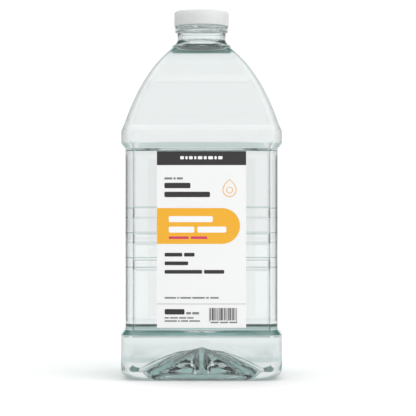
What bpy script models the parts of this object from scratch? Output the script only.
"""Hand soap refill pack: a clear bottle of liquid soap with a screw cap, its liner and two labels.

Metres, +Z up. The origin is the middle of the footprint, on the surface that the bottle stands on.
The front label faces -Y. Every level section of the bottle is a ring of eight tangent arcs round the Z axis:
four wide ones, the faces, and four tight ones, the corners. With all their radii equal it is a circle.
The front and the back may be cut flatter than that, which leaves a ridge on each corner.
"""

import math
from collections import namedtuple

import bpy

# Body of the bottle, outside
BODY_WIDTH = 0.1165
BODY_DEPTH = 0.0922
PANEL_CORNER_RADIUS = 0.0100
BODY_TURN = math.radians(3.5)
WALL = 0.0005
BASE_WALL = 0.0009

# Foot and push-up base
HEEL_RADIUS = 0.0080
FOOT_CORNER_RADIUS = 0.0220
FOOT_TURN = math.radians(14.0)
STANDING_RING_WIDTH = 0.0042
PUSH_UP_HEIGHT = 0.0210
PUSH_UP_EDGE_HEIGHT = 0.0050
PUSH_UP_EDGE_RUN = 0.0016
PUSH_UP_POWER = 1.5
RIB_DEPTH = 0.0024

# Heights of the body, each measured up from the last
BASE_BAND_HEIGHT = 0.0322
LOWER_STEP_HEIGHT = 0.0036
PANEL_HEIGHT = 0.1290
UPPER_STEP_HEIGHT = 0.0035
UPPER_BAND_HEIGHT = 0.0089
CREASE_HEIGHT = 0.0038
SHOULDER_HEIGHT = 0.0610
NECK_FILLET_HEIGHT = 0.0025
BANDS_STAND_OUT = 0.0031
PANEL_RECESS = 0.0008
CREASE_RUN = 0.00175

# Grooves across the front and back of the panel
GROOVE_COUNT = 3
GROOVE_PITCH = 0.0185
GROOVE_HEIGHT = 0.0078
GROOVE_WALL_HEIGHT = 0.0008
GROOVE_DEPTH = 0.0008

# Shoulder: lean is how far it runs in for each unit that it climbs
SHOULDER_START_LEAN = 0.375
SHOULDER_START_REACH = 0.0179
SHOULDER_END_LEAN = 0.922
SHOULDER_END_REACH = 0.0367
SHOULDER_END_RADIUS = 0.0194
SHOULDER_CORNER_RADIUS = 0.0050
SHOULDER_FRONT_LEAN = 0.080
SHOULDER_CONE_LEAN = 1.0
SHOULDER_BEND = 0.0080
SHOULDER_ROUNDING_POWER = 8

# Neck finish and its thread, 38 mm size
NECK_RADIUS = 0.0176
BORE_RADIUS = 0.0159
NECK_HEIGHT = 0.0060
BEAD_HEIGHT = 0.0040
BEAD_STAND_OUT = 0.0017
BEAD_EDGE = 0.0005
FINISH_HEIGHT = 0.0085
THREAD_PITCH = 0.004233
THREAD_TURNS = 1.0
THREAD_STAND_OUT = 0.0012
THREAD_ROOT_WIDTH = 0.0019
THREAD_CREST_WIDTH = 0.0009
THREAD_SINK = 0.0003

# Cap and liner
CAP_WALL = 0.0009
CAP_TOP = 0.0012
CAP_EDGE_RADIUS = 0.0010
LINER_THICKNESS = 0.0010
LINER_SIDE_CLEARANCE = 0.0005
THREAD_CLEARANCE = 0.0003
CAP_TO_BEAD = 0.0004

# Soap and labels
HEADSPACE = 0.0226
LABEL_WIDTH = 0.0630
LABEL_BOTTOM_MARGIN = 0.0018
LABEL_TOP_MARGIN = 0.0026
LABEL_THICKNESS = 0.0002
SEAT_GAP = 0.0003

# Fineness of the mesh
FACE_SHARES = (0.0, 0.25, 0.5, 0.75)
RECESS_SHARE = 0.22
RIDGE_SHARE = 0.27
CORNER_SHARES = (0.0, RECESS_SHARE, RIDGE_SHARE, 0.5, 1 - RIDGE_SHARE, 1 - RECESS_SHARE)
PUSH_UP_SECTIONS = 6
HEEL_SECTIONS = 4
SHOULDER_SECTIONS = 14
LABEL_COLUMNS = 12
CAP_EDGE_STEPS = 3

# Heights above the floor that follow from those
LOWER_STEP_Z = BASE_BAND_HEIGHT
PANEL_BOTTOM_Z = LOWER_STEP_Z + LOWER_STEP_HEIGHT
PANEL_TOP_Z = PANEL_BOTTOM_Z + PANEL_HEIGHT
UPPER_BAND_Z = PANEL_TOP_Z + UPPER_STEP_HEIGHT
CREASE_Z = UPPER_BAND_Z + UPPER_BAND_HEIGHT
SHOULDER_Z = CREASE_Z + CREASE_HEIGHT
SHOULDER_TOP_Z = SHOULDER_Z + SHOULDER_HEIGHT
NECK_Z = SHOULDER_TOP_Z + NECK_FILLET_HEIGHT
BEAD_Z = NECK_Z + NECK_HEIGHT
FINISH_Z = BEAD_Z + BEAD_HEIGHT
MOUTH_Z = FINISH_Z + FINISH_HEIGHT
FILL_Z = MOUTH_Z - HEADSPACE
LINER_Z = MOUTH_Z + SEAT_GAP
CAP_CEILING_Z = LINER_Z + LINER_THICKNESS + SEAT_GAP
CAP_SKIRT_Z = FINISH_Z + CAP_TO_BEAD

# Radii and half sizes that follow from those
BAND_HALF_WIDTH = BODY_WIDTH / 2
BAND_HALF_DEPTH = BODY_DEPTH / 2
BAND_CORNER_RADIUS = PANEL_CORNER_RADIUS + BANDS_STAND_OUT
ROUND_TURN = math.radians(22.5)
SECTION_POINTS = 4 * (len(FACE_SHARES) + len(CORNER_SHARES))
THREAD_RADIUS = NECK_RADIUS + THREAD_STAND_OUT
CAP_BORE_RADIUS = THREAD_RADIUS + THREAD_CLEARANCE
CAP_THREAD_RADIUS = NECK_RADIUS + THREAD_CLEARANCE
CAP_RADIUS = CAP_BORE_RADIUS + CAP_WALL
LINER_RADIUS = CAP_BORE_RADIUS - LINER_SIDE_CLEARANCE

Section = namedtuple("Section", "half_width half_depth height corner_radius turn flatness recess rib wall")


def body_section(inset, height, recess=0.0):
    """A section of the body whose outline lies the inset inside that of the bands."""
    corner = BAND_CORNER_RADIUS - inset
    half_width = BAND_HALF_WIDTH - inset
    return Section(half_width, BAND_HALF_DEPTH - inset, height, corner, BODY_TURN, 1.0, recess, 0.0, WALL)


def foot_section(inset, height, wall=WALL):
    """A section under the base band: it grows rounder and loses its ridges as the heel runs in."""
    share = min(inset / HEEL_RADIUS, 1.0)
    corner = BAND_CORNER_RADIUS + share * (FOOT_CORNER_RADIUS - BAND_CORNER_RADIUS)
    corner -= max(inset - HEEL_RADIUS, 0.0)
    turn = BODY_TURN + share * (FOOT_TURN - BODY_TURN)
    half_width = BAND_HALF_WIDTH - inset
    return Section(half_width, BAND_HALF_DEPTH - inset, height, corner, turn, 1 - share, 0.0, 0.0, wall)


def round_section(radius, height):
    return Section(radius, radius, height, radius, ROUND_TURN, 0.0, 0.0, 0.0, WALL)


def push_up():
    """The base from its middle out to the standing ring: a dome with eight ribs that sink from it."""
    rim = foot_section(HEEL_RADIUS + STANDING_RING_WIDTH + PUSH_UP_EDGE_RUN, PUSH_UP_EDGE_HEIGHT, BASE_WALL)
    sections = []
    for step in range(PUSH_UP_SECTIONS + 1):
        out = step / PUSH_UP_SECTIONS
        fall = (PUSH_UP_HEIGHT - PUSH_UP_EDGE_HEIGHT) * out**PUSH_UP_POWER
        sections.append(
            rim._replace(
                half_width=out * rim.half_width,
                half_depth=out * rim.half_depth,
                height=PUSH_UP_HEIGHT - fall,
                corner_radius=out * rim.corner_radius,
                rib=RIB_DEPTH * math.sin(math.pi * out),
            )
        )
    return sections


def foot():
    """The flat standing ring and the rounded heel up to the base band."""
    sections = [foot_section(HEEL_RADIUS + STANDING_RING_WIDTH, 0.0, BASE_WALL)]
    for step in range(HEEL_SECTIONS + 1):
        angle = math.pi / 2 * step / HEEL_SECTIONS
        inset = HEEL_RADIUS * (1 - math.sin(angle))
        sections.append(foot_section(inset, HEEL_RADIUS * (1 - math.cos(angle))))
    return sections


def panel():
    """The base band, the recessed label panel with its grooves, and the upper band."""
    sections = [
        body_section(0.0, LOWER_STEP_Z),
        body_section(BANDS_STAND_OUT / 2, LOWER_STEP_Z + LOWER_STEP_HEIGHT / 2),
        body_section(BANDS_STAND_OUT, PANEL_BOTTOM_Z, PANEL_RECESS),
    ]
    middle = (PANEL_BOTTOM_Z + PANEL_TOP_Z) / 2
    for groove in range(GROOVE_COUNT):
        centre = middle + (groove - (GROOVE_COUNT - 1) / 2) * GROOVE_PITCH
        edge = GROOVE_HEIGHT / 2
        floor = edge - GROOVE_WALL_HEIGHT
        for away, depth in ((-edge, 0.0), (-floor, GROOVE_DEPTH), (floor, GROOVE_DEPTH), (edge, 0.0)):
            sections.append(body_section(BANDS_STAND_OUT, centre + away, PANEL_RECESS + depth))
    sections += [
        body_section(BANDS_STAND_OUT, PANEL_TOP_Z, PANEL_RECESS),
        body_section(0.0, UPPER_BAND_Z),
        body_section(0.0, CREASE_Z),
    ]
    return sections


def shoulder():
    """The shoulder: flat faces with ridged corners that turn round just under the neck.

    The width falls along a cubic curve. The depth is that of an upright front below and a cone
    above, with a rounded bend between the two.
    """
    start = body_section(CREASE_RUN, SHOULDER_Z)
    start_rise = SHOULDER_START_REACH / math.hypot(1.0, SHOULDER_START_LEAN)
    end_rise = SHOULDER_END_REACH / math.hypot(1.0, SHOULDER_END_LEAN)
    heights = (SHOULDER_Z, SHOULDER_Z + start_rise, SHOULDER_TOP_Z - end_rise, SHOULDER_TOP_Z)
    widths = (
        start.half_width,
        start.half_width - start_rise * SHOULDER_START_LEAN,
        SHOULDER_END_RADIUS + end_rise * SHOULDER_END_LEAN,
        SHOULDER_END_RADIUS,
    )
    sections = []
    for step in range(SHOULDER_SECTIONS + 1):
        along = step / SHOULDER_SECTIONS
        width = cubic(widths, along)
        height = cubic(heights, along)
        front = start.half_depth - SHOULDER_FRONT_LEAN * (height - SHOULDER_Z)
        cone = SHOULDER_END_RADIUS + SHOULDER_CONE_LEAN * (SHOULDER_TOP_Z - height)
        share = (width - SHOULDER_END_RADIUS) / (start.half_width - SHOULDER_END_RADIUS)
        roundness = (1 - share) ** SHOULDER_ROUNDING_POWER
        corner = SHOULDER_CORNER_RADIUS + share * (start.corner_radius - SHOULDER_CORNER_RADIUS)
        sections.append(
            start._replace(
                half_width=width,
                half_depth=soft_minimum(front, cone, SHOULDER_BEND),
                height=height,
                corner_radius=corner + (SHOULDER_END_RADIUS - corner) * roundness,
                turn=BODY_TURN + (ROUND_TURN - BODY_TURN) * roundness,
                flatness=1 - roundness,
            )
        )
    return sections


def cubic(points, along):
    """A cubic Bezier curve through its four control values."""
    first, second, third, last = points
    back = 1 - along
    return back**3 * first + 3 * back**2 * along * second + 3 * back * along**2 * third + along**3 * last


def soft_minimum(first, second, softness):
    """The smaller of two values, with a parabola across the place where they cross."""
    share = min(max(0.5 + 0.5 * (second - first) / softness, 0.0), 1.0)
    return second + (first - second) * share - softness * share * (1 - share)


def skin():
    """The outer skin of the body, from the middle of the base to the top of the shoulder."""
    return push_up() + foot() + panel() + shoulder()


def neck():
    """The outside of the neck: a plain collar, the bead under the cap, and the finish above it."""
    bead_radius = NECK_RADIUS + BEAD_STAND_OUT
    return [
        round_section(NECK_RADIUS, NECK_Z),
        round_section(NECK_RADIUS, BEAD_Z),
        round_section(bead_radius, BEAD_Z + BEAD_EDGE),
        round_section(bead_radius, FINISH_Z - BEAD_EDGE),
        round_section(bead_radius - BEAD_EDGE, FINISH_Z),
        round_section(NECK_RADIUS, FINISH_Z),
        round_section(NECK_RADIUS, MOUTH_Z),
    ]


def inside(gap=0.0):
    """The inside of the bottle up to the mouth, moved a further gap towards the middle.

    Each point of the profile moves square to it: the two normals beside it, added and divided by
    one plus their dot product, give the direction and the mitred length.
    """
    sections = skin()
    normals = [(0.0, -1.0)]
    for here, above in zip(sections, sections[1:]):
        run = above.half_width - here.half_width
        rise = above.height - here.height
        length = math.hypot(run, rise)
        normals.append((rise / length, -run / length))
    normals.append(normals[-1])
    moved = []
    for section, before, after in zip(sections, normals, normals[1:]):
        mitre = (section.wall + gap) / (1 + before[0] * after[0] + before[1] * after[1])
        sideways = mitre * (before[0] + after[0]) if section.half_width else 0.0
        moved.append(
            section._replace(
                half_width=section.half_width - sideways,
                half_depth=section.half_depth - sideways,
                corner_radius=section.corner_radius - sideways,
                height=section.height - mitre * (before[1] + after[1]),
            )
        )
    return moved + [round_section(BORE_RADIUS - gap, NECK_Z), round_section(BORE_RADIUS - gap, MOUTH_Z)]


def filled_to(sections, level):
    """The sections below the level, and one exactly on it."""
    below = [section for section in sections if section.height < level]
    last = below[-1]
    following = sections[len(below)]
    share = (level - last.height) / (following.height - last.height)
    at_level = [here + share * (there - here) for here, there in zip(last, following)]
    return below + [Section(*at_level)]


def face_radii(section):
    """Radii of the side and the front arcs that meet the corner arcs smoothly.

    Each face turns through twice the section's turn, and each corner through the rest of a quarter turn.
    Both ends of a corner arc then give one condition, and the two conditions are linear in the radii.
    """
    sine = math.sin(section.turn)
    versine = 1 - math.cos(section.turn)
    corner = section.corner_radius * (sine + versine - 1)
    across = section.half_width + corner
    deep = section.half_depth + corner
    scale = sine**2 - versine**2
    return (deep * sine - across * versine) / scale, (across * sine - deep * versine) / scale


def front_arc(section, x):
    """How far forward the wide front arc reaches at x, if it is run on past its ends."""
    radius = face_radii(section)[1]
    return section.half_depth - radius + math.sqrt(radius**2 - x**2)


def corner_centre(section):
    side_radius = face_radii(section)[0]
    reach = side_radius - section.corner_radius
    return section.half_width - side_radius + reach * math.cos(section.turn), reach * math.sin(section.turn)


def flat_face_drop(section):
    """How far the front arc moves in, to make the flat face that meets the corner arc at the ridge."""
    corner_x, corner_y = corner_centre(section)
    radius = section.corner_radius
    ridge = section.turn + RIDGE_SHARE * (math.pi / 2 - 2 * section.turn)
    return front_arc(section, corner_x + radius * math.sin(ridge)) - corner_y - radius * math.cos(ridge)


def outline(section):
    """Points round the section at its height, with a rib at the middle of each face and each corner.

    The ridge is the point of a corner arc at RIDGE_SHARE from the front or the back.
    """
    radius = section.corner_radius
    corner_x, corner_y = corner_centre(section)
    drop = flat_face_drop(section)
    points = []
    for quarter, (x_sign, y_sign) in enumerate(((1, 1), (-1, 1), (-1, -1), (1, -1))):
        start = math.pi / 2 * quarter
        on_side = quarter % 2 == 0
        face_radius = face_radii(section)[quarter % 2]
        inwards = face_radius - (section.half_width if on_side else section.half_depth)
        sunk = 0.0 if on_side else section.flatness * drop + section.recess
        for share in FACE_SHARES:
            angle = start + section.turn * (2 * share - 1)
            x = face_radius * math.cos(angle) - inwards * math.cos(start)
            y = face_radius * math.sin(angle) - inwards * math.sin(start) - y_sign * sunk
            points.append((x, y, section.height - (section.rib if share == 0.5 else 0.0)))
        for share in CORNER_SHARES:
            angle = start + section.turn + share * (math.pi / 2 - 2 * section.turn)
            x = x_sign * corner_x + radius * math.cos(angle)
            y = y_sign * corner_y + radius * math.sin(angle)
            from_front = 1 - share if on_side else share
            if from_front < RIDGE_SHARE and not math.isclose(from_front, RIDGE_SHARE):
                flat = y_sign * (front_arc(section, x) - drop)
                y += section.flatness * (flat - y) - y_sign * section.recess
            points.append((x, y, section.height - (section.rib if share == 0.5 else 0.0)))
    return points


def side(sections, first):
    """Points and triangles of a skin that climbs from a pole through the sections, numbered from first."""
    points = [(0.0, 0.0, sections[0].height)]
    for section in sections[1:]:
        points += outline(section)
    faces = []
    for step in range(SECTION_POINTS):
        turn = (step + 1) % SECTION_POINTS
        faces.append((first, first + 1 + turn, first + 1 + step))
        for ring in range(len(sections) - 2):
            low = first + 1 + ring * SECTION_POINTS
            high = low + SECTION_POINTS
            faces.append((low + step, low + turn, high + turn))
            faces.append((low + step, high + turn, high + step))
    return points, faces


def loft(name, sections, hollow=None):
    """A closed mesh up the sections, then either flat across the top or over a rim and down the hollow's."""
    points, faces = side(sections, 0)
    rim = len(points) - SECTION_POINTS
    top = len(points)
    if hollow:
        inner_points, inner_faces = side(hollow, top)
        points += inner_points
        faces += [face[::-1] for face in inner_faces]
        inner_rim = len(points) - SECTION_POINTS
    else:
        points.append((0.0, 0.0, sections[-1].height))
    for step in range(SECTION_POINTS):
        turn = (step + 1) % SECTION_POINTS
        if hollow:
            faces.append((rim + step, rim + turn, inner_rim + turn, inner_rim + step))
        else:
            faces.append((rim + step, rim + turn, top))
    mesh = bpy.data.meshes.new(name)
    mesh.from_pydata(points, [], faces)
    return mesh


def finished(name, mesh, material, collection, height=0.0):
    """An object of the part, shaded smooth apart from its sharp edges."""
    mesh.name = name
    mesh.materials.append(material)
    mesh.shade_smooth()
    mesh.set_sharp_from_angle(angle=math.radians(35))
    piece = bpy.data.objects.new(name, mesh)
    piece.location = (0.0, 0.0, height)
    collection.objects.link(piece)
    return piece


def plastic(name, colour, roughness, transmission=0.0, ior=1.5):
    """A Principled material with the piece's colour and gloss."""
    material = bpy.data.materials.new(name)
    material.use_nodes = True
    shader = material.node_tree.nodes["Principled BSDF"]
    shader.inputs["Base Color"].default_value = (*colour, 1.0)
    shader.inputs["Roughness"].default_value = roughness
    shader.inputs["Metallic"].default_value = 0.0
    shader.inputs["Transmission Weight"].default_value = transmission
    shader.inputs["IOR"].default_value = ior
    return material


def thread(name, root_radius, crest_radius, turned, height):
    """A screw thread as one ridge: a trapezoid carried up a right-hand helix, for joining to a wall."""
    steps = round(SECTION_POINTS * THREAD_TURNS)
    corners = (
        (root_radius, -THREAD_ROOT_WIDTH / 2),
        (crest_radius, -THREAD_CREST_WIDTH / 2),
        (crest_radius, THREAD_CREST_WIDTH / 2),
        (root_radius, THREAD_ROOT_WIDTH / 2),
    )
    points = []
    for step in range(steps + 1):
        angle = turned + 2 * math.pi * step / SECTION_POINTS
        climb = height + THREAD_PITCH * step / SECTION_POINTS
        points += [
            (radius * math.cos(angle), radius * math.sin(angle), climb + offset) for radius, offset in corners
        ]
    count = len(corners)
    faces = [tuple(range(count)), tuple(range(steps * count + count - 1, steps * count - 1, -1))]
    for step in range(steps):
        for corner in range(count):
            low = step * count + corner
            side = step * count + (corner + 1) % count
            faces.append((low, low + count, side + count, side))
    if crest_radius < root_radius:
        faces = [face[::-1] for face in faces]
    mesh = bpy.data.meshes.new(name)
    mesh.from_pydata(points, [], faces)
    return mesh


def join_thread(piece, mesh, helpers):
    """Joins the ridge to the piece with a Boolean union."""
    ridge = bpy.data.objects.new(mesh.name, mesh)
    ridge.location = piece.location
    ridge.display_type = "WIRE"
    ridge.hide_render = True
    helpers.objects.link(ridge)
    union = piece.modifiers.new("thread", "BOOLEAN")
    union.operation = "UNION"
    union.solver = "EXACT"
    union.object = ridge


def turned(profile):
    """A mesh of the profile, given as radius and height from the top down, for a Screw modifier to turn."""
    mesh = bpy.data.meshes.new("profile")
    points = [(radius, 0.0, height) for radius, height in profile]
    mesh.from_pydata(points, [(start, start + 1) for start in range(len(points) - 1)], [])
    return mesh


def turn(piece):
    screw = piece.modifiers.new("turned", "SCREW")
    screw.axis = "Z"
    screw.steps = SECTION_POINTS
    screw.render_steps = SECTION_POINTS
    screw.use_merge_vertices = True
    screw.merge_threshold = 0.00001


def make_bottle(collection, helpers):
    """The blown bottle: outer skin and neck going up, then the bore and the inside coming down."""
    clear = plastic("clear_plastic", (0.86, 0.93, 0.92), 0.03, transmission=1.0, ior=1.57)
    mesh = loft("bottle", skin() + neck(), hollow=inside())
    bottle = finished("bottle", mesh, clear, collection)
    height = thread_height()
    ridge = thread("neck_thread", NECK_RADIUS - THREAD_SINK, THREAD_RADIUS, 0.0, height)
    join_thread(bottle, ridge, helpers)


def thread_height():
    """Height of both threads' lower ends, so that their rise sits in the middle of the finish."""
    return (CAP_SKIRT_Z + MOUTH_Z - THREAD_PITCH * THREAD_TURNS) / 2


def make_soap(collection):
    """The liquid: the inside of the bottle, less a gap, up to a flat surface just under the neck."""
    liquid = plastic("soap", (0.90, 0.96, 0.95), 0.0, transmission=1.0, ior=1.34)
    mesh = loft("soap_fill", filled_to(inside(SEAT_GAP), FILL_Z))
    finished("soap_fill", mesh, liquid, collection)


def make_cap(collection, helpers):
    """The screw cap: a turned shell with half a pitch between its own thread and that of the neck."""
    white = plastic("white_plastic", (0.88, 0.88, 0.88), 0.35)
    top = CAP_CEILING_Z + CAP_TOP - CAP_SKIRT_Z
    ceiling = CAP_CEILING_Z - CAP_SKIRT_Z
    profile = [(0.0, top)]
    for step in range(CAP_EDGE_STEPS + 1):
        angle = math.pi / 2 * step / CAP_EDGE_STEPS
        radius = CAP_RADIUS - CAP_EDGE_RADIUS * (1 - math.sin(angle))
        profile.append((radius, top - CAP_EDGE_RADIUS * (1 - math.cos(angle))))
    profile += [(CAP_RADIUS, 0.0), (CAP_BORE_RADIUS, 0.0), (CAP_BORE_RADIUS, ceiling), (0.0, ceiling)]
    cap = finished("cap", turned(profile), white, collection, CAP_SKIRT_Z)
    turn(cap)
    height = thread_height() - CAP_SKIRT_Z
    ridge = thread("cap_thread", CAP_BORE_RADIUS + THREAD_SINK, CAP_THREAD_RADIUS, math.pi, height)
    join_thread(cap, ridge, helpers)


def make_liner(collection):
    """The sealing disc that the cap presses on the mouth."""
    foam = plastic("liner_foam", (0.92, 0.92, 0.90), 0.7)
    profile = [(0.0, LINER_THICKNESS), (LINER_RADIUS, LINER_THICKNESS), (LINER_RADIUS, 0.0), (0.0, 0.0)]
    liner = finished("cap_liner", turned(profile), foam, collection, LINER_Z)
    turn(liner)


def make_label(name, side, collection):
    """A film label on the panel: side is -1 for the front and 1 for the back."""
    film = plastic(name, (0.90, 0.90, 0.90), 0.4)
    panel_section = body_section(BANDS_STAND_OUT, PANEL_BOTTOM_Z, PANEL_RECESS)
    radius = face_radii(panel_section)[1]
    middle = panel_section.half_depth - flat_face_drop(panel_section) - PANEL_RECESS + SEAT_GAP
    bottom = PANEL_BOTTOM_Z + LABEL_BOTTOM_MARGIN
    top = PANEL_TOP_Z - LABEL_TOP_MARGIN
    points = []
    for column in range(LABEL_COLUMNS + 1):
        x = LABEL_WIDTH * (column / LABEL_COLUMNS - 0.5)
        y = side * (middle - radius + math.sqrt(radius**2 - x**2))
        points += [(x, y, bottom), (x, y, top)]
    faces = []
    for column in range(LABEL_COLUMNS):
        low = 2 * column
        face = (low, low + 2, low + 3, low + 1)
        faces.append(face if side < 0 else face[::-1])
    mesh = bpy.data.meshes.new(name)
    mesh.from_pydata(points, [], faces)
    label = finished(name, mesh, film, collection)
    thicken = label.modifiers.new("film", "SOLIDIFY")
    thicken.thickness = LABEL_THICKNESS
    thicken.offset = 1.0


def main():
    for stale in list(bpy.data.objects):
        bpy.data.objects.remove(stale)
    part = bpy.data.collections.new("hand_soap_refill_pack")
    helpers = bpy.data.collections.new("helpers")
    for collection in (part, helpers):
        bpy.context.scene.collection.children.link(collection)
    make_bottle(part, helpers)
    make_soap(part)
    make_cap(part, helpers)
    make_liner(part)
    make_label("front_label", -1, part)
    make_label("back_label", 1, part)


main()
